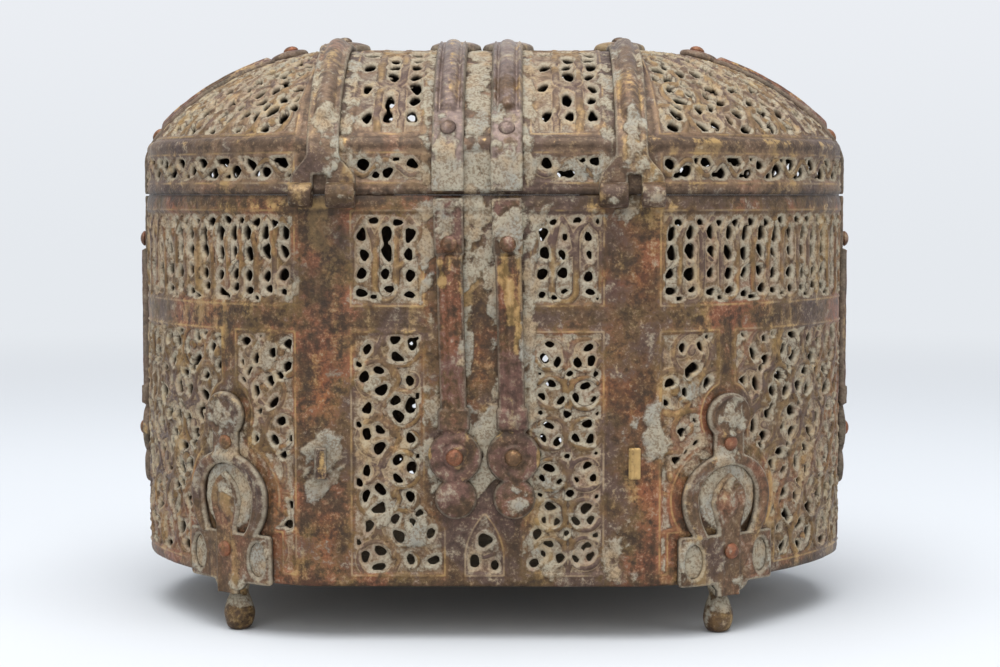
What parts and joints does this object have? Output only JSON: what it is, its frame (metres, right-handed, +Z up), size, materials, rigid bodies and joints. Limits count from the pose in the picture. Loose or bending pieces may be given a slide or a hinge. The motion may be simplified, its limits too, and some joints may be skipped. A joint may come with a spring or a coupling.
{
  "type": "jewelry casket",
  "caption": "Openwork bronze casket with rounded corners, domed hinged lid, riveted straps and ball feet with pierced mounts.",
  "frame": {"origin": "middle of the casket's footprint, on the surface it stands on", "axes": "+Z up, -Y out of the front that bears the pair of middle straps, +X to the right seen from the front"},
  "size_m": [0.2466, 0.1856, 0.1922],
  "materials": {
    "pierced_wall": "aged cast bronze, brown with grey-green corrosion in the recesses",
    "pierced_lid": "aged cast bronze, brown with sandy encrustation",
    "base": "dull dark bronze sheet",
    "straps": "purple-brown patina rubbed to gold on the ridges",
    "foot_mounts": "reddish patina with pale corrosion",
    "feet": "worn olive-brown bronze",
    "rivets": "coppery worn heads",
    "hinge_pins": "dark worn bronze rod",
    "staples": "bright golden worn stub"
  },
  "bodies": {
    "body": {"front_strap_left": "straps", "front_strap_left_rivet_top": "rivets", "front_strap_left_rivet_disc": "rivets", "front_strap_right": "straps", "front_strap_right_rivet_top": "rivets", "front_strap_right_rivet_disc": "rivets", "side_strap_left": "straps", "side_strap_left_rivet_top": "rivets", "side_strap_left_rivet_disc": "rivets", "side_strap_right": "straps", "side_strap_right_rivet_top": "rivets", "side_strap_right_rivet_disc": "rivets", "hinge_strap_left": "straps", "hinge_strap_left_rivet_top": "rivets", "hinge_strap_left_rivet_disc": "rivets", "hinge_strap_right": "straps", "hinge_strap_right_rivet_top": "rivets", "hinge_strap_right_rivet_disc": "rivets", "hinge_pin_left": "hinge_pins", "hinge_pin_right": "hinge_pins", "foot_mount_front_right": "foot_mounts", "foot_mount_front_right_rivet_low": "rivets", "foot_mount_front_right_rivet_high": "rivets", "foot_front_right": "feet", "foot_mount_back_right": "foot_mounts", "foot_mount_back_right_rivet_low": "rivets", "foot_mount_back_right_rivet_high": "rivets", "foot_back_right": "feet", "foot_mount_back_left": "foot_mounts", "foot_mount_back_left_rivet_low": "rivets", "foot_mount_back_left_rivet_high": "rivets", "foot_back_left": "feet", "foot_mount_front_left": "foot_mounts", "foot_mount_front_left_rivet_low": "rivets", "foot_mount_front_left_rivet_high": "rivets", "foot_front_left": "feet", "hasp_staple_left": "staples", "hasp_staple_right": "staples", "body_wall": "pierced_wall", "base_plate": "base"},
    "lid": {"lid_strap_centre_left": "straps", "lid_strap_centre_left_rivet_front": "rivets", "lid_strap_centre_left_rivet_back": "rivets", "lid_strap_outer_left": "straps", "lid_strap_outer_left_rivet_crown": "rivets", "lid_side_strap_left": "straps", "lid_side_strap_left_rivet_low": "rivets", "lid_side_strap_left_rivet_high": "rivets", "lid_strap_centre_right": "straps", "lid_strap_centre_right_rivet_front": "rivets", "lid_strap_centre_right_rivet_back": "rivets", "lid_strap_outer_right": "straps", "lid_strap_outer_right_rivet_crown": "rivets", "lid_side_strap_right": "straps", "lid_side_strap_right_rivet_low": "rivets", "lid_side_strap_right_rivet_high": "rivets", "lid_shell": "pierced_lid"}
  },
  "joints": [
    {"name": "lid_hinge", "type": "hinge", "parent": "body", "child": "lid", "pos_m": [0, 0.08915, 0.1382], "axis": [-1, 0, 0], "range_deg": [0, 100]}
  ]
}
